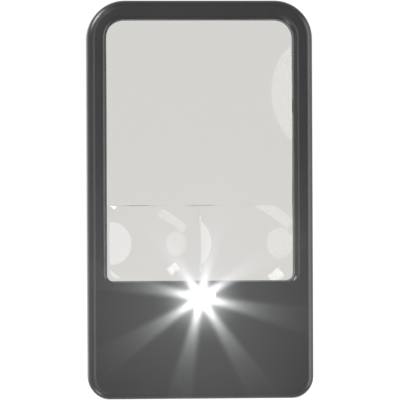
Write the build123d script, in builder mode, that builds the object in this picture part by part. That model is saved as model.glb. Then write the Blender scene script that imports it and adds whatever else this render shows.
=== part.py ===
"""Lighted page magnifier: a flat case that holds a three-power lens, with an LED lamp in its handle.

Millimetres. The magnifier stands on its lower edge: X runs across it, Z along it, and Y through it.
The page side faces -Y. The origin is the centre of the lower edge's footprint, on the seam's plane.
"""

from build123d import *
from math import cos, hypot, radians, sin, sqrt
import os

os.makedirs("parts", exist_ok=True)

# ---------------------------------------------------------------- driving dimensions
width = 62.0
height = 109.4
depth = 11.0
border = 5.25
window_height = 71.85
top_corner = 10.5
bottom_corner = 6.0
window_top_corner = 5.0
window_bottom_corner = 1.9
bevel_bottom_corner = 3.0
edge_radius = 2.15
bevel = 1.5
lower_bevel = 0.6
bevel_turns = [0, 30, 60, 90]
wall = 1.6

half_width = width / 2
half_depth = depth / 2
inner_face = half_depth - wall
window_top = height - border
window_low = window_top - window_height
window_half = half_width - border

# lens seat: the flange sits between the two rims
rim = 2.0
flange_half = 1.1
flange_reach = 1.3
seat_reach = 1.4
lens_gap = 0.15

# lens: a square main zone above two half-width zones, all biconvex
edge_half = 1.25
zone_split = 53.05
main_radius = 290.0
left_radius = 61.0
right_radius = 81.0

# gate lug of the lens, and the notch it lies in
lug_low = 78.6
lug_high = 82.3
lug_reach = 0.5
lug_front = -1.9
lug_gap = 0.3
lug_root = 1.0
notch_reach = 0.8
notch_front = -3.4

# lap joint of the two covers
lap = 0.8
lap_height = 0.8
lap_gap = 0.06

# coin cells, size 2032, and the bay that holds them
cell_radius = 10.0
cell_height = 3.2
cell_x = 10.4
cell_z = 13.2
cell_back = 3.4
cell_front = cell_back - cell_height
bay_half = 21.3
bay_low = 2.95
bay_high = 23.45
bay_wall = 0.9
bay_floor = -0.6
bay_foot = 1.7
strip = 0.25

# battery door, which swings on a rod along its upper edge, with a pin at each end
door_half = 22.0
door_low = 2.6
door_high = 23.9
door_gap = 0.15
door_seat_gap = 0.05
door_inner = inner_face + door_seat_gap
door_corner = 1.2
hinge_radius = 0.85
hinge_y = half_depth - hinge_radius
hinge_z = door_high - door_gap - hinge_radius
hinge_relief = 0.1
pin_radius = 0.42
pin_gap = 0.08
pin_reach = 1.0

# lamp: a wide-angle LED that leans towards the window
lamp_tilt = radians(30.0)
lamp_tip_y = -4.6
lamp_tip_z = 28.9
lamp_length = 4.9
lamp_radius = 2.4
lamp_flange_radius = 2.8
lamp_flange = 1.0
lamp_crown = 1.7
lamp_clearance = 0.08
notch_half = 4.2
notch_low = 26.9
notch_corner = 1.5
lead_half = 0.25
lead_x = 1.27
lead_depth = 0.47

lamp_base_y = lamp_tip_y + lamp_length * cos(lamp_tilt)
lamp_base_z = lamp_tip_z - lamp_length * sin(lamp_tilt)
lamp = Plane(
    origin=(0, lamp_base_y, lamp_base_z), x_dir=(1, 0, 0), z_dir=(0, -cos(lamp_tilt), sin(lamp_tilt))
)
lead_z = lamp_base_z - (lead_depth - lamp_base_y) * sin(lamp_tilt) / cos(lamp_tilt)
lead_bend = 0.4
anode_end = 7.6
cathode_end = -6.0

# circuit board and slide switch
board_left = 6.0
board_right = 22.0
board_low = 24.55
board_high = 29.9
board_back = 0.2
board_front = -0.6
post_places = [(8.0, 29.0), (20.7, 29.0)]
post_radius = 0.95
spigot_radius = 0.5
spigot_back = 0.6
hole_gap = 0.1
pad_places = [(7.2, 27.3), (21.2, 26.2)]
pad_radius = 0.7
switch_x = 15.0
switch_z = 27.5
switch_travel = 2.0
switch_half = 4.3
switch_half_height = 1.8
switch_back = 3.5
switch_skin = 0.25
terminal_pitch = 2.5
terminal_radius = 0.3
knob_x = switch_x - switch_travel / 2
knob_length = 6.0
knob_height = 4.4
recess_floor = 4.6
recess_gap = 0.3
recess_corner = 1.0
stem_length = 2.6
stem_height = 1.9
actuator_length = 1.6
actuator_height = 1.4

# case screws
screw_places = [(-26.0, 6.5), (26.0, 6.5), (-26.0, 27.3), (26.0, 27.3)]
screw_radius = 1.0
screw_head_radius = 1.9
screw_head_back = 5.2
screw_tip = -3.0
boss_radius = 2.4
thread_gap = 0.02
shank_gap = 0.15
head_gap = 0.2


# ---------------------------------------------------------------- shared shapes
def across(y):
    """The upright plane at depth y, facing the page side."""
    return Plane.XZ.offset(-y)


def plate(y, half, low, high, top_radius, bottom_radius):
    """An upright rectangle at depth y, with one radius for its upper and one for its lower corners."""
    with BuildSketch(across(y), mode=Mode.PRIVATE) as outline:
        with Locations((0, (low + high) / 2)):
            Rectangle(2 * half, high - low)
        fillet(outline.vertices().group_by(Axis.Y)[-1], top_radius)
        fillet(outline.vertices().group_by(Axis.Y)[0], bottom_radius)
    return outline.sketch


def case_outline(y, inset=0.0):
    """The case's outline at depth y, moved in from its outer edge by inset."""
    top_radius = top_corner - inset
    bottom_radius = bottom_corner - inset
    return plate(y, half_width - inset, inset, height - inset, top_radius, bottom_radius)


def window_outline(y, grow=0.0):
    """The window's outline at depth y, moved out from the opening's edge by grow."""
    top_radius = window_top_corner + grow
    bottom_radius = window_bottom_corner + grow
    return plate(
        y, window_half + grow, window_low - grow, window_top + grow, top_radius, bottom_radius
    )


def bevel_outline(turn):
    """A section of the window's rounded bevel, which is narrower along the window's lower edge.

    The bevel's surface turns from the case's face, at 0 degrees, into the window's wall, at 90.
    """
    share = 1 - sin(radians(turn))
    y = bevel * (1 - cos(radians(turn))) - half_depth
    low = window_low - lower_bevel * share
    top_radius = window_top_corner + bevel * share
    bottom_radius = window_bottom_corner + (bevel_bottom_corner - window_bottom_corner) * share
    return plate(y, window_half + bevel * share, low, window_top + bevel * share, top_radius, bottom_radius)


def block(left, right, front, back, low, high):
    """A plain block between six coordinates, for add()."""
    centre = ((left + right) / 2, (front + back) / 2, (low + high) / 2)
    with BuildPart(mode=Mode.PRIVATE) as piece:
        with Locations(centre):
            Box(right - left, back - front, high - low)
    return piece.part


def door_outline(gap, high):
    """The battery door's outline at the case's back, inset by gap, with its lower corners rounded."""
    low = door_low + gap
    with BuildSketch(across(half_depth), mode=Mode.PRIVATE) as outline:
        with Locations((0, (low + high) / 2)):
            Rectangle(2 * (door_half - gap), high - low)
        fillet(outline.vertices().group_by(Axis.Y)[0], door_corner - gap)
    return outline.sketch


def hinge_rod(radius, reach):
    """A rod along the battery door's hinge axis that reaches as far to each side."""
    with BuildPart(mode=Mode.PRIVATE) as rod:
        with Locations(Location((0, hinge_y, hinge_z), (0, 90, 0))):
            Cylinder(radius, 2 * reach)
    return rod.part


def lamp_shape(clearance=0.0):
    """The lamp's clear body without its flange, grown by clearance."""
    with BuildPart(mode=Mode.PRIVATE) as body:
        with BuildSketch(lamp):
            Circle(lamp_radius + clearance)
        extrude(amount=lamp_length + clearance)
        fillet(body.faces().sort_by(Axis(lamp.origin, lamp.z_dir))[-1].edges(), lamp_crown)
    return body.part


def save(piece, name):
    """Labels a finished piece and writes it to the parts folder."""
    piece.part.label = name
    export_step(piece.part, f"parts/{name}.step")


# ---------------------------------------------------------------- case halves
def half_shell():
    """One half of the case, on the page side of the seam: tray, bevelled window, rim and lens seat."""
    with BuildPart(mode=Mode.PRIVATE) as shell:
        extrude(case_outline(0), amount=half_depth)
        fillet(shell.faces().sort_by(Axis.Y)[0].outer_wire().edges(), edge_radius)
        extrude(window_outline(0), amount=half_depth, mode=Mode.SUBTRACT)
        loft([bevel_outline(turn).face() for turn in bevel_turns], mode=Mode.SUBTRACT)
        with BuildSketch(across(0)):
            add(case_outline(0, wall).face())
            add(window_outline(0, rim).face(), mode=Mode.SUBTRACT)
        extrude(amount=inner_face, mode=Mode.SUBTRACT)
        extrude(window_outline(0, seat_reach), amount=flange_half, mode=Mode.SUBTRACT)
    return shell.part


def snap_planes():
    """Planes across the border at each snap: local X points outwards from the case's edge, Y to the back."""
    side_heights = [58.0, 90.0]
    planes = [Plane(origin=(0, 0, height), x_dir=(0, 0, 1), z_dir=(-1, 0, 0))]
    for z in side_heights:
        planes.append(Plane(origin=(half_width, 0, z), x_dir=(1, 0, 0), z_dir=(0, 0, 1)))
        planes.append(Plane(origin=(-half_width, 0, z), x_dir=(-1, 0, 0), z_dir=(0, 0, -1)))
    return planes


snap_width = 5.0
hook_outline = [(-3.1, -4.0), (-2.3, -4.0), (-2.3, 1.75), (-1.9, 1.75), (-2.3, 2.6), (-3.1, 2.6)]
catch_outline = [(-1.5, 0.95), (-1.5, 1.65), (-2.2, 1.65), (-2.2, 1.35)]

with BuildPart() as front_cover:
    add(half_shell())
    # tongue of the lap joint
    with BuildSketch(across(lap_height)):
        add(case_outline(lap_height, lap + lap_gap).face())
        add(case_outline(lap_height, wall).face(), mode=Mode.SUBTRACT)
    extrude(amount=lap_height)
    # snap hooks
    for plane in snap_planes():
        with BuildSketch(plane):
            Polygon(*hook_outline, align=None)
        extrude(amount=snap_width / 2, both=True)
    # screw bosses
    with BuildSketch(across(0)):
        with Locations(*screw_places):
            Circle(boss_radius)
    extrude(amount=inner_face)
    with BuildSketch(across(0)):
        with Locations(*screw_places):
            Circle(screw_radius + thread_gap)
    extrude(amount=inner_face, mode=Mode.SUBTRACT)
    # posts that carry the circuit board
    with BuildSketch(across(board_front)):
        with Locations(*post_places):
            Circle(post_radius)
    extrude(amount=inner_face + board_front)
    with BuildSketch(across(spigot_back)):
        with Locations(*post_places):
            Circle(spigot_radius)
    extrude(amount=spigot_back - board_front)
    # notch that lets the lamp shine out and up into the window
    with BuildSketch(across(-flange_half)) as notch:
        with Locations((0, (notch_low + window_low + border) / 2)):
            Rectangle(2 * notch_half, window_low + border - notch_low)
        fillet(notch.vertices().group_by(Axis.Y)[0], notch_corner)
    extrude(amount=half_depth - flange_half, mode=Mode.SUBTRACT)
    add(lamp_shape(lamp_clearance), mode=Mode.SUBTRACT)
    # notch for the lens's gate lug
    lug_notch = block(0, window_half + notch_reach, notch_front, -flange_half, lug_low, lug_high)
    add(lug_notch, mode=Mode.SUBTRACT)
save(front_cover, "front_cover")

bay_outer_half = bay_half + bay_wall
bay_outer_high = bay_high + bay_wall
bay_front = bay_floor - bay_wall
hinge_boss_front = 3.2
hinge_boss_half = 0.95
hinge_boss_reach = 1.9
rib_x = 3.0
rib_half = 0.4
rib_low = lead_z + 1.0
holder_back = 1.4
positive_left = 8.9
positive_right = 10.4
negative_left = -18.5
negative_right = -16.5
tab_gap = 0.1

with BuildPart() as rear_cover:
    mirror(half_shell(), about=Plane.XZ)
    # groove of the lap joint
    with BuildSketch(across(lap_height + lap_gap)):
        add(case_outline(lap_height + lap_gap, lap).face())
        add(window_outline(lap_height + lap_gap, rim).face(), mode=Mode.SUBTRACT)
    extrude(amount=lap_height + lap_gap, mode=Mode.SUBTRACT)
    # catches for the snap hooks
    for plane in snap_planes():
        with BuildSketch(plane):
            Polygon(*catch_outline, align=None)
        extrude(amount=snap_width / 2, both=True)
    # battery bay
    add(block(-bay_outer_half, bay_outer_half, bay_front, inner_face, bay_foot, bay_outer_high))
    add(
        block(-bay_half, bay_half, bay_floor, half_depth, bay_low, bay_high),
        mode=Mode.SUBTRACT,
    )
    extrude(door_outline(0, door_high), amount=wall, mode=Mode.SUBTRACT)
    # bosses and sockets for the door's pins, and room for its rod to turn
    for left in (-door_half - hinge_boss_reach, door_half):
        right = left + hinge_boss_reach
        low = hinge_z - hinge_boss_half
        high = hinge_z + hinge_boss_half
        add(block(left, right, hinge_boss_front, inner_face, low, high))
    add(hinge_rod(hinge_radius + hinge_relief, door_half), mode=Mode.SUBTRACT)
    add(hinge_rod(pin_radius + pin_gap, door_half + pin_reach + pin_gap), mode=Mode.SUBTRACT)
    # ribs that hold the lamp's cradle, and pads that hold the board
    for x in (-rib_x, rib_x):
        add(block(x - rib_half, x + rib_half, holder_back, inner_face, rib_low, board_high))
    with BuildSketch(across(inner_face)):
        with Locations(*pad_places):
            Circle(pad_radius)
    extrude(amount=inner_face - board_back)
    # screw bosses with counterbores
    with BuildSketch(across(inner_face)):
        with Locations(*screw_places):
            Circle(boss_radius)
    extrude(amount=inner_face)
    with BuildSketch(across(half_depth)):
        with Locations(*screw_places):
            Circle(screw_radius + shank_gap)
    extrude(amount=half_depth, mode=Mode.SUBTRACT)
    with BuildSketch(across(half_depth)):
        with Locations(*screw_places):
            Circle(screw_head_radius + head_gap)
    extrude(amount=wall, mode=Mode.SUBTRACT)
    # recess and slot for the switch's knob
    with BuildSketch(across(half_depth)):
        with Locations((switch_x, switch_z)):
            recess_length = knob_length + switch_travel + 2 * recess_gap
            RectangleRounded(recess_length, knob_height + 2 * recess_gap, recess_corner)
    extrude(amount=half_depth - recess_floor, mode=Mode.SUBTRACT)
    with BuildSketch(across(half_depth)):
        with Locations((switch_x, switch_z)):
            Rectangle(stem_length + switch_travel + 2 * recess_gap, stem_height + recess_gap)
    extrude(amount=wall, mode=Mode.SUBTRACT)
    # slots that the contacts' tabs pass through
    for left, right, front in (
        (positive_left, positive_right, board_back),
        (negative_left, negative_right, bay_floor),
    ):
        back = front + strip + tab_gap
        slot = block(left - tab_gap, right + tab_gap, front, back, bay_high - bay_wall, bay_outer_high)
        add(slot, mode=Mode.SUBTRACT)
save(rear_cover, "rear_cover")


# ---------------------------------------------------------------- lens
def lens_zone(left, right, low, high, radius):
    """A biconvex zone between four edges, as thin at its corners as the lens's edge."""
    half_diagonal = hypot(right - left, high - low) / 2
    crown_half = edge_half + radius - sqrt(radius**2 - half_diagonal**2)
    centre_x = (left + right) / 2
    centre_z = (low + high) / 2
    with BuildPart(mode=Mode.PRIVATE) as zone:
        with BuildSketch(across(half_depth)):
            add(window_outline(half_depth, -lens_gap).face())
            with Locations((centre_x, centre_z)):
                Rectangle(right - left, high - low, mode=Mode.INTERSECT)
        extrude(amount=depth)
        for centre_y in (radius - crown_half, crown_half - radius):
            with Locations((centre_x, centre_y, centre_z)):
                Sphere(radius, mode=Mode.INTERSECT)
    return zone.part


with BuildPart() as lens:
    extrude(window_outline(flange_half, flange_reach), amount=2 * flange_half)
    add(lens_zone(-window_half, window_half, zone_split, window_top, main_radius))
    add(lens_zone(-window_half, 0, window_low, zone_split, left_radius))
    add(lens_zone(0, window_half, window_low, zone_split, right_radius))
    lug_left = window_half - lug_root
    lug_right = window_half + lug_reach
    add(block(lug_left, lug_right, lug_front, 0, lug_low + lug_gap, lug_high - lug_gap))
save(lens, "lens")


# ---------------------------------------------------------------- lamp
def lead(post_height, side, end):
    """A lead: a post inside the lamp, and a wire that leaves its base and turns along X to its end."""
    start = Vector(side * lead_x, lamp_base_y, lamp_base_z)
    corner = Vector(side * lead_x, lead_depth, lead_z)
    with BuildPart(mode=Mode.PRIVATE) as piece:
        with BuildSketch(lamp):
            with Locations((side * lead_x, 0)):
                Rectangle(2 * lead_half, 2 * lead_half)
        extrude(amount=post_height)
        with BuildLine() as route:
            FilletPolyline(start, corner, Vector(end, lead_depth, lead_z), radius=lead_bend)
        with BuildSketch(Plane(origin=start, z_dir=corner - start)):
            Circle(lead_half)
        sweep(path=route.line)
    return piece.part


anode_post = 2.4
cup_base = 1.6
cup_height = 0.8
cup_radius = 0.85
cup_mouth = 0.62
cup_depth = 0.45

with BuildPart() as led_anode:
    add(lead(anode_post, 1, anode_end))
save(led_anode, "led_anode")

with BuildPart() as led_cathode:
    add(lead(cup_base, -1, cathode_end))
    with BuildSketch(lamp.offset(cup_base)):
        Circle(cup_radius)
        with Locations((-lead_x / 2, 0)):
            Rectangle(lead_x + 2 * lead_half, 2 * lead_half)
    extrude(amount=cup_height - cup_depth)
    with BuildSketch(lamp.offset(cup_base + cup_height - cup_depth)):
        Circle(cup_radius)
        Circle(cup_mouth, mode=Mode.SUBTRACT)
    extrude(amount=cup_depth)
save(led_cathode, "led_cathode")

with BuildPart() as led_phosphor:
    with BuildSketch(lamp.offset(cup_base + cup_height - cup_depth)):
        Circle(cup_mouth)
    extrude(amount=cup_depth)
save(led_phosphor, "led_phosphor")

flange_flat = 0.3

with BuildPart() as led_dome:
    add(lamp_shape())
    with BuildSketch(lamp):
        Circle(lamp_flange_radius)
        with Locations((-lamp_flange_radius, 0)):
            Rectangle(2 * flange_flat, 2 * lamp_flange_radius, mode=Mode.SUBTRACT)
    extrude(amount=lamp_flange)
    for inside in (led_anode, led_cathode, led_phosphor):
        add(inside.part, mode=Mode.SUBTRACT)
save(led_dome, "led_dome")

holder_half = 4.05
holder_low = 24.5
holder_high = 29.9
holder_front = -3.8
nose_front = -5.2
nose_low = 27.05
flare_start = 2.9
flare_end = 8.0
flare_radius = 6.4
lead_slot_half = 0.5

with BuildPart() as led_holder:
    add(block(-holder_half, holder_half, holder_front, holder_back, holder_low, holder_high))
    with BuildSketch(across(holder_front)) as nose:
        with Locations((0, (nose_low + holder_high) / 2)):
            Rectangle(2 * holder_half, holder_high - nose_low)
        fillet(nose.vertices().group_by(Axis.Y)[0], notch_corner)
    extrude(amount=holder_front - nose_front)
    with BuildSketch(lamp.offset(-depth)):
        Circle(lamp_flange_radius + lamp_clearance)
    extrude(amount=depth + lamp_flange, mode=Mode.SUBTRACT)
    with BuildSketch(lamp):
        Circle(lamp_radius + lamp_clearance)
    extrude(amount=depth, mode=Mode.SUBTRACT)
    with BuildSketch(lamp.offset(flare_start)):
        Circle(lamp_radius + lamp_clearance)
    with BuildSketch(lamp.offset(flare_end)):
        Circle(flare_radius)
    loft(mode=Mode.SUBTRACT)
    slot_low = lead_z - lead_slot_half
    slot_high = lead_z + lead_slot_half
    add(block(-holder_half, holder_half, 0, holder_back, slot_low, slot_high), mode=Mode.SUBTRACT)
save(led_holder, "led_holder")


# ---------------------------------------------------------------- circuit board
terminal_places = [(switch_x + step * terminal_pitch, switch_z) for step in (-1, 0, 1)]
resistor_x = 10.5
resistor_z = 26.2
resistor_half = 1.6
resistor_core = 1.15
resistor_height = 1.6
resistor_thickness = 0.55

with BuildPart() as circuit_board:
    add(block(board_left, board_right, board_front, board_back, board_low, board_high))
    with BuildSketch(across(board_back)):
        with Locations(*post_places):
            Circle(spigot_radius + hole_gap)
        with Locations(*terminal_places):
            Circle(terminal_radius + hole_gap)
    extrude(amount=board_back - board_front, mode=Mode.SUBTRACT)
save(circuit_board, "circuit_board")

with BuildPart() as resistor_body:
    with BuildSketch(across(board_front)):
        with Locations((resistor_x, resistor_z)):
            Rectangle(2 * resistor_core, resistor_height)
    extrude(amount=resistor_thickness)
save(resistor_body, "resistor_body")

with BuildPart() as resistor_ends:
    with BuildSketch(across(board_front)):
        with Locations((resistor_x, resistor_z)):
            Rectangle(2 * resistor_half, resistor_height)
            Rectangle(2 * resistor_core, resistor_height, mode=Mode.SUBTRACT)
    extrude(amount=resistor_thickness)
save(resistor_ends, "resistor_ends")

# ---------------------------------------------------------------- slide switch
switch_base_back = 1.0
terminal_back = 1.1
terminal_front = -1.3
wiper_front = 1.15
slider_front = 1.35
slider_back = 3.15
slider_length = 3.9
slider_height = 2.8
actuator_back = 4.3
wiper_length = 3.5
wiper_height = 1.2
wiper_corner = 0.4
switch_inside_half = switch_half - switch_skin
switch_inside_half_height = switch_half_height - switch_skin

with BuildPart() as switch_terminals:
    with BuildSketch(across(terminal_back)):
        with Locations(*terminal_places):
            Circle(terminal_radius)
    extrude(amount=terminal_back - terminal_front)
save(switch_terminals, "switch_terminals")

with BuildPart() as switch_base:
    with BuildSketch(across(switch_base_back)):
        with Locations((switch_x, switch_z)):
            Rectangle(2 * switch_inside_half, 2 * switch_inside_half_height)
    extrude(amount=switch_base_back - board_back)
    add(switch_terminals.part, mode=Mode.SUBTRACT)
save(switch_base, "switch_base")

with BuildPart() as switch_can:
    with BuildSketch(across(switch_back)):
        with Locations((switch_x, switch_z)):
            Rectangle(2 * switch_half, 2 * switch_half_height)
    extrude(amount=switch_back - board_back)
    fillet(switch_can.edges().filter_by(Axis.Y), switch_skin)
    with BuildSketch(across(switch_back - switch_skin)):
        with Locations((switch_x, switch_z)):
            Rectangle(2 * switch_inside_half, 2 * switch_inside_half_height)
    extrude(amount=switch_back - switch_skin - board_back, mode=Mode.SUBTRACT)
    with BuildSketch(across(switch_back)):
        with Locations((switch_x, switch_z)):
            slot_length = actuator_length + switch_travel + 2 * recess_gap
            Rectangle(slot_length, actuator_height + recess_gap)
    extrude(amount=switch_skin, mode=Mode.SUBTRACT)
save(switch_can, "switch_can")

with BuildPart() as switch_slider:
    with BuildSketch(across(slider_back)):
        with Locations((knob_x, switch_z)):
            Rectangle(slider_length, slider_height)
    extrude(amount=slider_back - slider_front)
    with BuildSketch(across(actuator_back)):
        with Locations((knob_x, switch_z)):
            Rectangle(actuator_length, actuator_height)
    extrude(amount=actuator_back - slider_back)
save(switch_slider, "switch_slider")

with BuildPart() as switch_wiper:
    with BuildSketch(across(slider_front)):
        with Locations((knob_x, switch_z)):
            RectangleRounded(wiper_length, wiper_height, wiper_corner)
    extrude(amount=slider_front - wiper_front)
save(switch_wiper, "switch_wiper")

knob_back = 5.4
knob_front = 4.7
stem_front = 3.65
socket_back = 4.4
knob_corner = 0.9
knob_edge = 0.2
knob_grooves = 4
knob_groove_pitch = 1.1
knob_groove_width = 0.5
knob_groove_depth = 0.3

with BuildPart() as switch_knob:
    with BuildSketch(across(knob_back)):
        with Locations((knob_x, switch_z)):
            RectangleRounded(knob_length, knob_height, knob_corner)
    extrude(amount=knob_back - knob_front)
    fillet(switch_knob.faces().sort_by(Axis.Y)[-1].edges(), knob_edge)
    with BuildSketch(across(knob_back)):
        with Locations((knob_x, switch_z)):
            with GridLocations(knob_groove_pitch, 0, knob_grooves, 1):
                Rectangle(knob_groove_width, knob_height)
    extrude(amount=knob_groove_depth, mode=Mode.SUBTRACT)
    with BuildSketch(across(knob_front)):
        with Locations((knob_x, switch_z)):
            Rectangle(stem_length, stem_height)
    extrude(amount=knob_front - stem_front)
    with BuildSketch(across(socket_back)):
        with Locations((knob_x, switch_z)):
            Rectangle(actuator_length + hole_gap, actuator_height + hole_gap)
    extrude(amount=socket_back - stem_front, mode=Mode.SUBTRACT)
save(switch_knob, "switch_knob")


# ---------------------------------------------------------------- coin cells
cell_skin = 0.25
seal_radius = 9.1
can_step = 0.3
can_front = cell_front + can_step


def disc(x, back, front, radius):
    """A disc about a cell's axis, between two depths."""
    with BuildPart(mode=Mode.PRIVATE) as piece:
        with BuildSketch(across(back)):
            with Locations((x, cell_z)):
                Circle(radius)
        extrude(amount=back - front)
    return piece.part


for side, x in (("left", -cell_x), ("right", cell_x)):
    with BuildPart() as cell_can:
        add(disc(x, cell_back, can_front, cell_radius))
        fillet(cell_can.faces().sort_by(Axis.Y)[-1].edges(), cell_skin)
        add(disc(x, cell_back - cell_skin, can_front, cell_radius - cell_skin), mode=Mode.SUBTRACT)
    save(cell_can, f"cell_{side}_can")

    with BuildPart() as cell_seal:
        add(disc(x, cell_back - cell_skin, can_front, cell_radius - cell_skin))
        add(disc(x, cell_back - cell_skin, can_front, seal_radius), mode=Mode.SUBTRACT)
    save(cell_seal, f"cell_{side}_seal")

    with BuildPart() as cell_cap:
        add(disc(x, cell_back - cell_skin, cell_front, seal_radius))
        fillet(cell_cap.faces().sort_by(Axis.Y)[0].edges(), cell_skin)
    save(cell_cap, f"cell_{side}_cap")

# ---------------------------------------------------------------- battery contacts and wire
tab_high = 25.5
tongue_half = 2.4
tongue_reach = 5.2
tongue_tip = 3.9
tongue_flat = 0.6
tongue_thickness = 0.245
strip_back = bay_floor + strip
cell_top = cell_z + cell_radius


def tongue(x, direction):
    """A sprung strip that rises from the bay's floor to touch the cell's cap above its centre."""
    floor_level = bay_floor + strip / 2
    touch_level = cell_front - strip / 2
    with BuildPart(mode=Mode.PRIVATE) as piece:
        with BuildSketch(Plane.XY.offset(cell_z)):
            with BuildLine():
                Polyline(
                    (x - direction * tongue_reach, floor_level),
                    (x - direction * tongue_flat, touch_level),
                    (x + direction * tongue_flat, touch_level),
                    (x + direction * tongue_tip, floor_level + strip),
                )
            trace(line_width=tongue_thickness)
        extrude(amount=tongue_half, both=True)
    return piece.part


with BuildPart() as negative_contact:
    foot_right = strip - cell_x - tongue_reach
    tongue_low = cell_z - tongue_half
    tongue_high = cell_z + tongue_half
    add(block(negative_left, negative_right, bay_floor, strip_back, tongue_low, tab_high))
    add(block(negative_right, foot_right, bay_floor, strip_back, tongue_low, tongue_high))
    add(tongue(-cell_x, 1))
save(negative_contact, "negative_contact")

bridge_left = -13.0
bridge_leaf_right = -8.0
bridge_leaf_back = 2.6
riser_left = 3.0
riser_right = cell_x - tongue_reach + strip
bridge_low = cell_top - 2.0

with BuildPart() as bridge_contact:
    add(block(riser_left, riser_right, bay_floor, strip_back, cell_z - tongue_half, cell_top))
    add(block(bridge_left, riser_right, bay_floor, strip_back, bridge_low, cell_top))
    add(block(bridge_left, bridge_leaf_right, bay_floor, bridge_leaf_back, cell_top, bay_high))
    add(block(bridge_left, bridge_leaf_right, bay_floor, strip_back, bridge_low, bay_high))
    add(tongue(cell_x, 1))
save(bridge_contact, "bridge_contact")

positive_leaf_left = 8.0
positive_leaf_right = 13.0
positive_leaf_back = 3.0

with BuildPart() as positive_contact:
    leaf_right = positive_leaf_right
    add(block(positive_leaf_left, leaf_right, board_back, positive_leaf_back, cell_top, bay_high))
    add(block(positive_left, positive_right, board_back, board_back + strip, cell_top, tab_high))
save(positive_contact, "positive_contact")

wire_radius = 0.45
wire_bend = 0.7
wire_points = [
    (cathode_end, lead_depth, lead_z),
    (-9.0, 0.8, 26.6),
    (-13.5, 1.5, 27.2),
    (-17.5, 1.5, 25.0),
    (-17.5, strip_back, 25.0),
]

with BuildPart() as black_wire:
    with BuildLine() as route:
        FilletPolyline(*wire_points, radius=wire_bend)
    with BuildSketch(Plane(origin=wire_points[0], z_dir=route.line @ 0.01 - route.line @ 0)):
        Circle(wire_radius)
    sweep(path=route.line)
save(black_wire, "black_wire")

# ---------------------------------------------------------------- battery door
rib_heights = [9.0, 17.4]
door_rib_front = cell_back + door_seat_gap
door_rib_half = 0.5
door_rib_reach = 18.0
latch_half = 4.0
latch_low = 3.3
latch_high = 3.9
latch_front = 3.0
thumb_radius = 6.0
thumb_z = 0.6
thumb_depth = 0.7
groove_heights = [8.4, 9.8, 11.2]
groove_length = 14.0
groove_width = 0.6
groove_depth = 0.35

with BuildPart() as battery_door:
    extrude(door_outline(door_gap, hinge_z), amount=half_depth - door_inner)
    add(hinge_rod(hinge_radius, door_half - door_gap))
    add(hinge_rod(pin_radius, door_half + pin_reach))
    for z in rib_heights:
        low = z - door_rib_half
        high = z + door_rib_half
        add(block(-door_rib_reach, door_rib_reach, door_rib_front, door_inner, low, high))
    add(block(-latch_half, latch_half, latch_front, door_inner, latch_low, latch_high))
    # thumb recess and grip grooves
    with BuildSketch(across(half_depth)):
        with Locations((0, thumb_z)):
            Circle(thumb_radius)
    extrude(amount=thumb_depth, mode=Mode.SUBTRACT)
    with BuildSketch(across(half_depth)):
        with Locations(*[(0, z) for z in groove_heights]):
            SlotOverall(groove_length, groove_width)
    extrude(amount=groove_depth, mode=Mode.SUBTRACT)
save(battery_door, "battery_door")

# ---------------------------------------------------------------- case screws
head_round = 0.5
tip_chamfer = 0.5
cross_length = 2.4
cross_width = 0.6
cross_depth = 0.75

with BuildPart() as case_screws:
    with BuildSketch(across(screw_head_back)):
        with Locations(*screw_places):
            Circle(screw_head_radius)
    extrude(amount=screw_head_back - inner_face)
    fillet(case_screws.faces().group_by(Axis.Y)[-1].edges(), head_round)
    with BuildSketch(across(inner_face)):
        with Locations(*screw_places):
            Circle(screw_radius)
    extrude(amount=inner_face - screw_tip)
    chamfer(case_screws.faces().group_by(Axis.Y)[0].edges(), tip_chamfer)
    with BuildSketch(across(screw_head_back)):
        with Locations(*screw_places):
            Rectangle(cross_length, cross_width)
            Rectangle(cross_width, cross_length)
    extrude(amount=cross_depth, mode=Mode.SUBTRACT)
save(case_screws, "case_screws")
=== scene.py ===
"""Lighted page magnifier: materials, lens, lamp glare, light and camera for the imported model.

Metres, in the CAD's own frame: X runs across the magnifier, Z along it, and the page side faces -Y.
"""

from math import cos, hypot, pi, radians, sin, sqrt

import bmesh
import bpy
from mathutils import Euler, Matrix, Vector


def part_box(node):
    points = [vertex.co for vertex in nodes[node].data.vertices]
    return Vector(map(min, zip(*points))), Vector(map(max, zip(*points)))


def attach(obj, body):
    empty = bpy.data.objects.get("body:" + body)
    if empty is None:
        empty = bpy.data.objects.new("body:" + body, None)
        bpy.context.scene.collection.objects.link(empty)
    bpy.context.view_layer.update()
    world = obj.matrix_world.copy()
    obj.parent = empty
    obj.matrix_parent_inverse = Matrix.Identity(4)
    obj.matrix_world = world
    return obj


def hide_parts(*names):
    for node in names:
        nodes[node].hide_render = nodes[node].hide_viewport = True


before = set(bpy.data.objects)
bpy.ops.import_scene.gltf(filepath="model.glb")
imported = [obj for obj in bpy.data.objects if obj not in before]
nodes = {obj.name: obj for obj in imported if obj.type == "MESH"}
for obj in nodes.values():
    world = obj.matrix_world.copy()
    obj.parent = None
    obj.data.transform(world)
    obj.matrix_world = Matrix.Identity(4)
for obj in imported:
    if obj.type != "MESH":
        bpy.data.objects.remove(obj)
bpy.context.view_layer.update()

MM = 0.001
high_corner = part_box("front_cover")[1]
centre = Vector((0.0, 0.0, high_corner.z / 2))


# ---------------------------------------------------------------- material helpers
noise_roughness = 0.55
pattern_low = 0.3
pattern_high = 0.7


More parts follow.
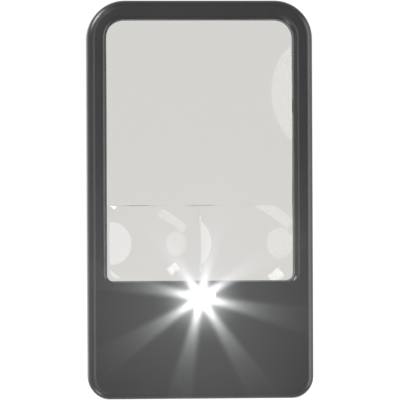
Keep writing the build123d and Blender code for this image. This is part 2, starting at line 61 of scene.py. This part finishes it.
class Paint:
    """One procedural material: its Principled shader, and the patterns that drive it."""

    def __init__(self, name, roughness, metallic=0.0, ior=1.5):
        self.material = bpy.data.materials.new(name)
        self.material.use_nodes = True
        self.tree = self.material.node_tree
        self.shader = self.tree.nodes["Principled BSDF"]
        self.shader.inputs["Roughness"].default_value = roughness
        self.shader.inputs["Metallic"].default_value = metallic
        self.shader.inputs["IOR"].default_value = ior
        self.place = self.tree.nodes.new("ShaderNodeTexCoord").outputs["Object"]

    def node(self, kind, **values):
        """A new node with its input values set by name, spaces written as underscores."""
        made = self.tree.nodes.new(kind)
        for name, value in values.items():
            made.inputs[name.replace("_", " ")].default_value = value
        return made

    def link(self, output, target):
        self.tree.links.new(output, target)

    def noise(self, size, detail=3.0, stretch=(1.0, 1.0, 1.0)):
        """Noise whose blotches are about size across, stretched along the object's axes."""
        spread = self.tree.nodes.new("ShaderNodeMapping")
        spread.inputs["Scale"].default_value = [1.0 / (size * along) for along in stretch]
        self.link(self.place, spread.inputs["Vector"])
        pattern = self.node("ShaderNodeTexNoise", Scale=1.0, Detail=detail, Roughness=noise_roughness)
        self.link(spread.outputs["Vector"], pattern.inputs["Vector"])
        return pattern.outputs["Fac"]

    def grain(self, size):
        """Rounded cells, about size across, as in a spark-eroded mould's texture."""
        pattern = self.tree.nodes.new("ShaderNodeTexVoronoi")
        pattern.feature = "SMOOTH_F1"
        pattern.inputs["Scale"].default_value = 1.0 / size
        self.link(self.place, pattern.inputs["Vector"])
        return pattern.outputs["Distance"]

    def colour(self, pattern, dark, light):
        """The base colour, which varies from dark to light with the pattern."""
        ramp = self.tree.nodes.new("ShaderNodeValToRGB")
        ramp.color_ramp.elements[0].position = pattern_low
        ramp.color_ramp.elements[1].position = pattern_high
        ramp.color_ramp.elements[0].color = (*dark, 1.0)
        ramp.color_ramp.elements[1].color = (*light, 1.0)
        self.link(pattern, ramp.inputs["Fac"])
        self.link(ramp.outputs["Color"], self.shader.inputs["Base Color"])

    def gloss(self, pattern, low, high):
        """Roughness that varies from low to high over the pattern's middle range."""
        ramp = self.node(
            "ShaderNodeMapRange", From_Min=pattern_low, From_Max=pattern_high, To_Min=low, To_Max=high
        )
        self.link(pattern, ramp.inputs["Value"])
        self.link(ramp.outputs["Result"], self.shader.inputs["Roughness"])

    def relief(self, *layers):
        """Bump layers, each a pattern with its depth, one laid over another."""
        below = None
        for pattern, depth in layers:
            bump = self.node("ShaderNodeBump", Strength=1.0, Distance=depth)
            self.link(pattern, bump.inputs["Height"])
            if below is not None:
                self.link(below, bump.inputs["Normal"])
            below = bump.outputs["Normal"]
        self.link(below, self.shader.inputs["Normal"])

    def set(self, **values):
        """Plain values on the shader's own inputs."""
        for name, value in values.items():
            self.shader.inputs[name.replace("_", " ")].default_value = value


# ---------------------------------------------------------------- plastics
plastic_ior = 1.48
plastic_specular = 0.42
flow_size = 14 * MM
flow_stretch = (1.0, 1.0, 1.6)
shine_size = 8 * MM
shine_less = 0.02
shine_more = 0.03
sink_size = 11 * MM
sink_depth = 0.012 * MM


def moulded_plastic(name, dark, light, roughness, grain_size, grain_depth):
    """Satin plastic from a textured mould, with faint flow marks, handling shine and shallow sinks."""
    paint = Paint(name, roughness, ior=plastic_ior)
    paint.set(Specular_IOR_Level=plastic_specular)
    paint.colour(paint.noise(flow_size, detail=4.0, stretch=flow_stretch), dark, light)
    paint.gloss(paint.noise(shine_size, detail=1.0), roughness - shine_less, roughness + shine_more)
    paint.relief(
        (paint.noise(sink_size, detail=0.0), sink_depth),
        (paint.noise(grain_size, detail=1.0), grain_depth),
    )
    return paint.material


def case_plastic():
    return moulded_plastic(
        "case_plastic",
        dark=(0.0215, 0.0215, 0.0219),
        light=(0.0255, 0.0255, 0.0263),
        roughness=0.31,
        grain_size=0.35 * MM,
        grain_depth=0.0025 * MM,
    )


def knob_plastic():
    return moulded_plastic(
        "knob_plastic",
        dark=(0.018, 0.018, 0.020),
        light=(0.024, 0.024, 0.026),
        roughness=0.36,
        grain_size=0.22 * MM,
        grain_depth=0.008 * MM,
    )


def reflector():
    """White plastic of the lamp's cradle."""
    paint = Paint("reflector", 0.32)
    paint.colour(paint.noise(3 * MM), dark=(0.80, 0.80, 0.79), light=(0.86, 0.86, 0.85))
    paint.gloss(paint.noise(2 * MM), low=0.26, high=0.40)
    paint.relief((paint.grain(0.2 * MM), 0.004 * MM))
    return paint.material


# ---------------------------------------------------------------- lens and lamp materials
acrylic_ior = 1.49
epoxy_ior = 1.53
lamp_radiance = 260.0


def clear(name, transmitted_colour, roughness, ior):
    """A transparent material, whose colour filters the light that passes through it."""
    paint = Paint(name, roughness, ior=ior)
    paint.set(Base_Color=(*transmitted_colour, 1.0), Transmission_Weight=1.0)
    return paint


def lens_acrylic():
    """Clear acrylic, moulded nearly to an optical polish, tinted grey as painted shade that darkens what
    is seen through the lens.
    """
    # The grey tint is painted shade: it darkens the white seen through the lens.
    paint = clear("lens_acrylic", transmitted_colour=(0.670, 0.661, 0.640), roughness=0.02, ior=acrylic_ior)
    paint.gloss(paint.noise(9 * MM, detail=6.0), low=0.012, high=0.03)
    paint.relief((paint.noise(17 * MM, detail=1.0), 0.0015 * MM))
    return paint.material


def led_epoxy():
    """Water-clear epoxy, with the soft skin that casting leaves."""
    paint = clear("led_epoxy", transmitted_colour=(0.97, 0.98, 1.0), roughness=0.05, ior=epoxy_ior)
    paint.gloss(paint.noise(1.5 * MM), low=0.03, high=0.09)
    paint.relief((paint.noise(2.5 * MM, detail=1.0), 0.01 * MM))
    return paint.material


def led_phosphor():
    """Lit phosphor: yellow ceramic powder in resin, glowing cool white."""
    paint = Paint("led_phosphor", 0.6)
    paint.colour(paint.noise(0.12 * MM), dark=(0.75, 0.62, 0.18), light=(0.90, 0.80, 0.35))
    paint.relief((paint.noise(0.08 * MM), 0.02 * MM))
    paint.set(Emission_Color=(0.93, 0.96, 1.0, 1.0), Emission_Strength=lamp_radiance)
    return paint.material


# ---------------------------------------------------------------- metals
line_width = 0.25 * MM
stain_size = 4 * MM
polish_less = 0.06
polish_more = 0.10


def metal(name, dark, light, roughness, brushing, depth):
    """Metal with fine drawing or rolling lines, stretched by brushing along each axis."""
    paint = Paint(name, roughness, metallic=1.0)
    stains = paint.noise(stain_size, detail=5.0)
    paint.colour(stains, dark, light)
    paint.gloss(stains, roughness - polish_less, roughness + polish_more)
    paint.relief((paint.noise(line_width, detail=4.0, stretch=brushing), depth))
    return paint.material


def cell_steel():
    return metal(
        "cell_steel",
        dark=(0.60, 0.60, 0.60),
        light=(0.70, 0.70, 0.69),
        roughness=0.27,
        brushing=(1.0, 1.0, 12.0),
        depth=0.003 * MM,
    )


def contact_metal():
    return metal(
        "contact_metal",
        dark=(0.66, 0.60, 0.47),
        light=(0.76, 0.72, 0.60),
        roughness=0.25,
        brushing=(10.0, 1.0, 1.0),
        depth=0.003 * MM,
    )


def switch_steel():
    return metal(
        "switch_steel",
        dark=(0.55, 0.55, 0.54),
        light=(0.66, 0.66, 0.65),
        roughness=0.34,
        brushing=(8.0, 1.0, 1.0),
        depth=0.004 * MM,
    )


def screw_steel():
    return metal(
        "screw_steel",
        dark=(0.10, 0.10, 0.11),
        light=(0.17, 0.17, 0.18),
        roughness=0.38,
        brushing=(1.0, 4.0, 1.0),
        depth=0.006 * MM,
    )


def lead_wire():
    return metal(
        "lead_wire",
        dark=(0.72, 0.71, 0.69),
        light=(0.80, 0.79, 0.77),
        roughness=0.30,
        brushing=(1.0, 1.0, 6.0),
        depth=0.004 * MM,
    )


def solder_tin():
    return metal(
        "solder_tin",
        dark=(0.68, 0.68, 0.68),
        light=(0.80, 0.80, 0.80),
        roughness=0.35,
        brushing=(1.0, 1.0, 1.0),
        depth=0.01 * MM,
    )


# ---------------------------------------------------------------- board, switch, seals and wire
weave_pitch = 1.2 * MM
weave_distortion = 1.5
smear = 6
skin_less = 0.06
skin_more = 0.08


def board():
    """Green solder mask over glass cloth, whose weave shows faintly."""
    paint = Paint("board", 0.30)
    weave = paint.tree.nodes.new("ShaderNodeTexWave")
    weave.inputs["Scale"].default_value = 1.0 / weave_pitch
    weave.inputs["Distortion"].default_value = weave_distortion
    paint.link(paint.place, weave.inputs["Vector"])
    paint.colour(paint.noise(0.8 * MM), dark=(0.010, 0.105, 0.040), light=(0.018, 0.150, 0.060))
    paint.gloss(paint.noise(3 * MM), low=0.24, high=0.38)
    paint.relief((weave.outputs["Fac"], 0.006 * MM))
    return paint.material


def speckled(name, dark, light, roughness, speck, depth):
    """A plain hard or soft material with specks in its colour and a fine skin."""
    paint = Paint(name, roughness)
    paint.colour(paint.noise(speck, detail=6.0), dark, light)
    paint.gloss(paint.noise(smear * speck), roughness - skin_less, roughness + skin_more)
    paint.relief((paint.noise(speck, detail=2.0), depth))
    return paint.material


def resistor_ceramic():
    return speckled(
        "resistor_ceramic",
        dark=(0.012, 0.012, 0.013),
        light=(0.03, 0.03, 0.032),
        roughness=0.40,
        speck=0.2 * MM,
        depth=0.006 * MM,
    )


def switch_phenolic():
    return speckled(
        "switch_phenolic",
        dark=(0.12, 0.055, 0.024),
        light=(0.20, 0.095, 0.045),
        roughness=0.50,
        speck=0.3 * MM,
        depth=0.01 * MM,
    )


def switch_nylon():
    return speckled(
        "switch_nylon",
        dark=(0.02, 0.02, 0.02),
        light=(0.035, 0.035, 0.036),
        roughness=0.45,
        speck=0.4 * MM,
        depth=0.006 * MM,
    )


def cell_seal():
    return speckled(
        "cell_seal",
        dark=(0.06, 0.06, 0.065),
        light=(0.09, 0.09, 0.095),
        roughness=0.55,
        speck=0.4 * MM,
        depth=0.008 * MM,
    )


def wire_sleeve():
    return speckled(
        "wire_sleeve",
        dark=(0.014, 0.014, 0.015),
        light=(0.024, 0.024, 0.026),
        roughness=0.42,
        speck=0.5 * MM,
        depth=0.01 * MM,
    )


# ---------------------------------------------------------------- finishes on the pieces
makers = (
    case_plastic, knob_plastic, lens_acrylic, led_epoxy, led_phosphor, reflector, cell_steel,
    contact_metal, switch_steel, screw_steel, lead_wire, solder_tin, board, resistor_ceramic,
    switch_phenolic, switch_nylon, cell_seal, wire_sleeve,
)
finishes = {maker.__name__: maker() for maker in makers}

for node in nodes.values():
    for slot in node.material_slots:
        slot.material = finishes[slot.material.name.split(".")[0]]


# ---------------------------------------------------------------- lens
lens_low, lens_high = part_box("lens")
flange_reach = 1.3 * MM
flange_half = 1.1 * MM
lens_gap = 0.15 * MM
window_half = lens_high.x - flange_reach
window_low = lens_low.z + flange_reach
window_top = lens_high.z - flange_reach
low_zone_height = 20.75 * MM
zone_split = window_low + low_zone_height
zone_step = 0.14 * MM
top_round = 5.0 * MM - lens_gap
low_round = 1.9 * MM - lens_gap
edge_half = 1.25 * MM
rim_half = window_half - lens_gap
rim_low = window_low + lens_gap
rim_top = window_top - lens_gap
main_radius = 290.0 * MM
left_radius = 61.0 * MM
right_radius = 81.0 * MM

corner_rows = 9
row_pitch = 0.7 * MM
half_columns = 36
same_height = 0.0001 * MM
same_point = 0.001 * MM
smooth_angle = radians(30)

lug_front = 1.9 * MM
lug_low = 78.9 * MM
lug_high = 82.0 * MM
lug_reach = 0.5 * MM
lug_root = 0.05 * MM
lug_round = 0.08 * MM


class Zone:
    """A biconvex zone of the lens, as thin at its own corners as the lens's edge."""

    def __init__(self, left, right, low, high, radius):
        half_diagonal = hypot(right - left, high - low) / 2
        self.x = (left + right) / 2
        self.z = (low + high) / 2
        self.radius = radius
        self.crown = edge_half + radius - sqrt(radius**2 - half_diagonal**2)

    def half_thickness(self, x, z):
        reach = (x - self.x) ** 2 + (z - self.z) ** 2
        return self.crown - self.radius + sqrt(self.radius**2 - reach)


main_zone = Zone(-window_half, window_half, zone_split, window_top, main_radius)
left_zone = Zone(-window_half, 0.0, window_low, zone_split, left_radius)
right_zone = Zone(0.0, window_half, window_low, zone_split, right_radius)


def half_row(z):
    """Half the lens's width at height z, less in the rounded corners."""
    if z < rim_low + low_round:
        radius = low_round
        depth = z - rim_low
    elif z > rim_top - top_round:
        radius = top_round
        depth = rim_top - z
    else:
        return rim_half
    return rim_half - radius + sqrt(max(0.0, radius**2 - (radius - depth) ** 2))


def outward(x, z):
    """The direction, across and up, that points out of the lens's outline at a point on it."""
    side = 1.0 if x > 0 else -1.0
    low = z < rim_low + low_round
    radius = low_round if low else top_round
    corner_z = rim_low + radius if low else rim_top - radius
    corner_x = rim_half - radius
    in_corner = z < corner_z if low else z > corner_z
    if not in_corner:
        return Vector((side, 0.0, 0.0))
    across = max(0.0, abs(x) - corner_x) * side
    return Vector((across, 0.0, z - corner_z)).normalized()


def row_heights(low, high, low_radius, high_radius):
    """Heights of a zone's rows, closer together in its rounded corners."""
    turns = [index / corner_rows * pi / 2 for index in range(corner_rows + 1)]
    heights = {low + low_radius * (1 - cos(turn)) for turn in turns}
    heights |= {high - high_radius * (1 - cos(turn)) for turn in turns}
    inner_low = low + low_radius
    inner_high = high - high_radius
    count = round((inner_high - inner_low) / row_pitch)
    heights |= {inner_low + (inner_high - inner_low) * index / count for index in range(1, count)}
    ordered = sorted(heights)
    return [z for index, z in enumerate(ordered) if index == 0 or z - ordered[index - 1] > same_height]


low_rows = row_heights(rim_low, zone_split, low_round, 0.0)
main_rows = row_heights(zone_split + zone_step, rim_top, 0.0, top_round)


def bridge(shape, first, second):
    """Joins two rows of vertices, of the same length, with faces."""
    for index in range(len(first) - 1):
        shape.faces.new((first[index], first[index + 1], second[index + 1], second[index]))


def face_grid(shape, zone, rows, starts, ends, side):
    """One zone's front (side -1) or back (side 1): rows of vertices from share starts to share ends.

    A share is a part of half the lens's width, from -1 at its left edge to 1 at its right.
    """
    columns = round((ends - starts) * half_columns)
    grid = []
    for z in rows:
        xs = [half_row(z) * (starts + (ends - starts) * index / columns) for index in range(columns + 1)]
        grid.append([shape.verts.new((x, side * zone.half_thickness(x, z), z)) for x in xs])
    for lower, upper in zip(grid, grid[1:]):
        bridge(shape, lower, upper)
    return grid


def lens_face(shape, side):
    """A whole face of the lens, its zones joined by sloped steps. Returns its outline in order."""
    left = face_grid(shape, left_zone, low_rows, -1.0, 0.0, side)
    right = face_grid(shape, right_zone, low_rows, zone_step / rim_half, 1.0, side)
    main = face_grid(shape, main_zone, main_rows, -1.0, 1.0, side)
    bridge(shape, [row[-1] for row in left], [row[0] for row in right])
    bridge(shape, left[-1], main[0][: half_columns + 1])
    bridge(shape, right[-1], main[0][half_columns:])
    shape.faces.new((left[-1][-1], right[-1][0], main[0][half_columns]))
    foot = left[0] + right[0]
    right_side = [row[-1] for row in right[1:]] + [row[-1] for row in main]
    head = main[-1][-2::-1]
    left_side = [row[0] for row in main[-2::-1]] + [row[0] for row in left[:0:-1]]
    return foot + right_side + head + left_side


def ring(shape, outline, reach, y):
    """A copy of the outline at depth y, moved out by reach."""
    places = [vertex.co + outward(vertex.co.x, vertex.co.z) * reach for vertex in outline]
    return [shape.verts.new((place.x, y, place.z)) for place in places]


def mesh_piece(shape, name, material, body):
    """A finished bmesh as an object that rides on a body."""
    bmesh.ops.remove_doubles(shape, verts=shape.verts, dist=same_point)
    bmesh.ops.recalc_face_normals(shape, faces=shape.faces)
    mesh = bpy.data.meshes.new(name)
    shape.to_mesh(mesh)
    shape.free()
    mesh.shade_smooth()
    mesh.set_sharp_from_angle(angle=smooth_angle)
    mesh.materials.append(material)
    piece = bpy.data.objects.new(name, mesh)
    bpy.context.scene.collection.objects.link(piece)
    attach(piece, body)
    return piece


def gate_lug(shape):
    """The lug that the mould's gate left on the right of the lens, rooted in its flange."""
    low = Vector((rim_half, -lug_front, lug_low))
    high = Vector((window_half + lug_reach, -flange_half + lug_root, lug_high))
    box = bmesh.ops.create_cube(shape, size=1.0)["verts"]
    for vertex in box:
        vertex.co = [(a + b) / 2 + share * (b - a) for a, b, share in zip(low, high, vertex.co)]
    edges = {edge for vertex in box for edge in vertex.link_edges}
    bmesh.ops.bevel(shape, geom=list(edges), offset=lug_round, segments=2, affect="EDGES", profile=0.5)


def moulded_lens():
    """The three-zone lens with its flange as one closed surface, and its gate lug."""
    shape = bmesh.new()
    front = lens_face(shape, -1)
    back = lens_face(shape, 1)
    reach = lens_gap + flange_reach
    loops = [
        front,
        ring(shape, front, 0.0, -flange_half),
        ring(shape, front, reach, -flange_half),
        ring(shape, front, reach, flange_half),
        ring(shape, front, 0.0, flange_half),
        back,
    ]
    for first, second in zip(loops, loops[1:]):
        bridge(shape, first + first[:1], second + second[:1])
    gate_lug(shape)
    piece = mesh_piece(shape, "moulded_lens", finishes["lens_acrylic"], "case")
    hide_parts("lens")


moulded_lens()


# ---------------------------------------------------------------- light
light_distance = 1.2
paper_level = 1.02
side_level = 0.42
front_level = 0.17
front_end = -0.7
side_start = 0.1
side_end = 0.25
paper_start = 0.70


def smooth_ramp(tree, start, end, level):
    """A ramp that eases from its first level up to the given one between start and end."""
    ramp = tree.nodes.new("ShaderNodeMapRange")
    ramp.interpolation_type = "SMOOTHSTEP"
    ramp.inputs["From Min"].default_value = start
    ramp.inputs["From Max"].default_value = end
    ramp.inputs["To Max"].default_value = level
    return ramp


def world_light():
    """White to the camera, directly and through the lens, but a dim studio to reflections.

    The studio's level follows the direction's Y, from the front at -1 to the white paper at 1.
    """
    world = bpy.data.worlds.new("studio")
    bpy.context.scene.world = world
    world.use_nodes = True
    tree = world.node_tree
    shade = tree.nodes["Background"]
    shade.inputs["Color"].default_value = (1.0, 1.0, 1.0, 1.0)
    place = tree.nodes.new("ShaderNodeTexCoord")
    axes = tree.nodes.new("ShaderNodeSeparateXYZ")
    room = smooth_ramp(tree, front_end, side_start, side_level)
    room.inputs["To Min"].default_value = front_level
    paper = smooth_ramp(tree, side_end, paper_start, paper_level)
    path = tree.nodes.new("ShaderNodeLightPath")
    straight = tree.nodes.new("ShaderNodeMath")
    straight.operation = "MAXIMUM"
    seen = tree.nodes.new("ShaderNodeMix")
    seen.inputs["B"].default_value = paper_level
    tree.links.new(place.outputs["Generated"], axes.inputs["Vector"])
    tree.links.new(axes.outputs["Y"], room.inputs["Value"])
    tree.links.new(axes.outputs["Y"], paper.inputs["Value"])
    tree.links.new(room.outputs["Result"], paper.inputs["To Min"])
    tree.links.new(path.outputs["Is Camera Ray"], straight.inputs[0])
    tree.links.new(path.outputs["Is Transmission Ray"], straight.inputs[1])
    tree.links.new(straight.outputs["Value"], seen.inputs["Factor"])
    tree.links.new(paper.outputs["Result"], seen.inputs["A"])
    tree.links.new(seen.outputs["Result"], shade.inputs["Strength"])


def softbox(
    name, direction, half_across, half_up, radiance, turn=0.0, shape="RECTANGLE", through_lens=True
):
    """A soft light seen from the magnifier in a direction, with its half sizes as slopes.

    Where through_lens is false, the light shows in glossy surfaces but not through the lens.
    """
    data = bpy.data.lights.new(name, "AREA")
    light = bpy.data.objects.new(name, data)
    bpy.context.scene.collection.objects.link(light)
    towards = Vector(direction).normalized()
    light.location = centre + towards * light_distance
    light.rotation_mode = "QUATERNION"
    aim = (-towards).to_track_quat("-Z", "Y")
    light.rotation_quaternion = aim @ Euler((0, 0, turn)).to_quaternion()
    data.shape = shape
    data.size = 2 * half_across * light_distance
    data.size_y = 2 * half_up * light_distance
    area = data.size * data.size_y * (pi / 4 if shape == "ELLIPSE" else 1.0)
    data.energy = radiance * pi * area
    light.visible_camera = False
    light.visible_transmission = through_lens


def front_lights():
    """The photographer's lights, in front and to the left, which the lens's faces also show."""
    softbox(
        "octabox", (-0.365, -1.0, -0.02), half_across=0.185, half_up=0.20, radiance=3.5, shape="ELLIPSE"
    )
    softbox(
        "strobe", (-0.34, -1.0, 0.465), half_across=0.09, half_up=0.08, radiance=11.0, turn=radians(40)
    )
    softbox(
        "low_strip", (-0.33, -1.0, -0.47), half_across=0.26, half_up=0.085, radiance=3.8,
        turn=radians(-38),
    )


def edge_lights():
    """Lights at the sides, which run along the case's edges and round its corners."""
    softbox(
        "right_near", (1.0, -0.50, 0.0), half_across=0.28, half_up=0.60, radiance=4.4, through_lens=False
    )
    softbox(
        "right_far", (1.0, 0.1, 0.0), half_across=0.16, half_up=0.60, radiance=1.8, through_lens=False
    )
    softbox(
        "high_side", (-0.75, -0.22, 0.65), half_across=0.20, half_up=0.20, radiance=25.0,
        through_lens=False,
    )
    softbox(
        "low_side", (-0.60, -0.24, -0.80), half_across=0.13, half_up=0.13, radiance=15.0,
        through_lens=False,
    )


world_light()
front_lights()
edge_lights()


# ---------------------------------------------------------------- floor
floor_radius = 8.0
floor_sides = 96
floor_glow = 0.93
paper_mottle = 0.4


def floor():
    """A pale floor that glows nearly as bright as the surround, so it has no edge and a faint shadow."""
    mesh = bpy.data.meshes.new("floor")
    shape = bmesh.new()
    bmesh.ops.create_circle(shape, cap_ends=True, segments=floor_sides, radius=floor_radius)
    shape.to_mesh(mesh)
    shape.free()
    piece = bpy.data.objects.new("floor", mesh)
    bpy.context.scene.collection.objects.link(piece)
    paint = Paint("floor_paper", 0.9)
    paint.colour(paint.noise(paper_mottle), dark=(0.215, 0.215, 0.215), light=(0.22, 0.22, 0.22))
    paint.set(Emission_Color=(1.0, 1.0, 1.0, 1.0), Emission_Strength=floor_glow, Specular_IOR_Level=0.0)
    mesh.materials.append(paint.material)
    piece.visible_glossy = False
    piece.visible_transmission = False
    piece.visible_shadow = False


floor()


# ---------------------------------------------------------------- camera
view_distance = 0.95
view_width = 110.3 * MM
view_azimuth = radians(-4.0)
view_roll = radians(-0.25)
view_offset = Vector((0.14 * MM, 0.0, -0.1 * MM))
nearest_seen = 0.01
farthest_seen = 50.0


def camera():
    """Looks almost square at the page side, from slightly to its left."""
    data = bpy.data.cameras.new("camera")
    viewer = bpy.data.objects.new("camera", data)
    bpy.context.scene.collection.objects.link(viewer)
    back = Vector((sin(view_azimuth), -cos(view_azimuth), 0.0))
    viewer.location = centre + view_offset + back * view_distance
    viewer.rotation_mode = "QUATERNION"
    aim = (-back).to_track_quat("-Z", "Y")
    viewer.rotation_quaternion = aim @ Euler((0, 0, view_roll)).to_quaternion()
    data.lens = data.sensor_width * view_distance / view_width
    data.clip_start = nearest_seen
    data.clip_end = farthest_seen
    bpy.context.scene.camera = viewer


camera()


# ---------------------------------------------------------------- tone and glare
ray_count = 8
ray_threshold = 20.0
ray_maximum = 60.0
ray_strength = 0.125
ray_fade = 0.925
ray_turn = radians(-12.0)
ray_spread = radians(4.5)
ray_shares = (-1.2, -0.4, 0.4, 1.2)
ray_blur = 3.0
core_threshold = 6.0
core_maximum = 300.0
core_strength = 0.8
core_size = 0.4
near_veil = (44.0, 0.45)
far_veil = (240.0, 1.45)


class Darkroom:
    """The compositor's tree, which makes the photographer's lens flare round the lit lamp."""

    def __init__(self, tree):
        self.tree = tree
        tree.nodes.clear()
        self.picture = tree.nodes.new("CompositorNodeRLayers").outputs["Image"]
        self.result = tree.nodes.new("CompositorNodeComposite").inputs["Image"]

    def flare(self, kind, output, **values):
        """One glare node's output: its glare, or the highlights that it finds in the picture."""
        node = self.tree.nodes.new("CompositorNodeGlare")
        node.glare_type = kind
        node.inputs["Clamp"].default_value = True
        for name, value in values.items():
            node.inputs[name.replace("_", " ")].default_value = value
        self.tree.links.new(self.picture, node.inputs["Image"])
        return node.outputs[output]

    def blur(self, image, size):
        node = self.tree.nodes.new("CompositorNodeBlur")
        node.filter_type = "GAUSS"
        node.inputs["Size"].default_value = (size, size)
        self.tree.links.new(image, node.inputs["Image"])
        return node.outputs["Image"]

    def mix(self, kind, first, second):
        """The two images mixed at full strength. The second may be one colour."""
        node = self.tree.nodes.new("CompositorNodeMixRGB")
        node.blend_type = kind
        self.tree.links.new(first, node.inputs[1])
        if isinstance(second, tuple):
            node.inputs[2].default_value = second
        else:
            self.tree.links.new(second, node.inputs[2])
        return node

    def veil(self, size, strength):
        """The highlights spread softly over the picture."""
        highlights = self.flare("BLOOM", "Highlights", Threshold=core_threshold, Maximum=core_maximum)
        spread = self.blur(highlights, size)
        return self.mix("MULTIPLY", spread, (strength, strength, strength, 1.0)).outputs["Image"]

    def total(self, images):
        """The images added together, up to white."""
        result = images[0]
        for image in images[1:]:
            node = self.mix("ADD", result, image)
            result = node.outputs["Image"]
        node.use_clamp = True
        return result


def lamp_glare(room):
    """Eight soft wedge-shaped rays, a bright core, and a wide faint veil, laid over the picture."""
    rays = [
        room.flare(
            "STREAKS", "Glare", Threshold=ray_threshold, Maximum=ray_maximum, Strength=ray_strength,
            Streaks=ray_count, Streaks_Angle=ray_turn + share * ray_spread, Iterations=3, Fade=ray_fade,
            Color_Modulation=0.0,
        )
        for share in ray_shares
    ]
    soft_rays = room.blur(room.total(rays), ray_blur)
    core = room.flare(
        "BLOOM", "Glare", Threshold=core_threshold, Maximum=core_maximum, Strength=core_strength,
        Size=core_size,
    )
    flare = room.total([soft_rays, core, room.veil(*near_veil), room.veil(*far_veil)])
    shown = room.mix("SCREEN", room.picture, flare).outputs["Image"]
    room.tree.links.new(shown, room.result)


scene = bpy.context.scene
scene.view_settings.view_transform = "Standard"
scene.use_nodes = True
lamp_glare(Darkroom(scene.node_tree))
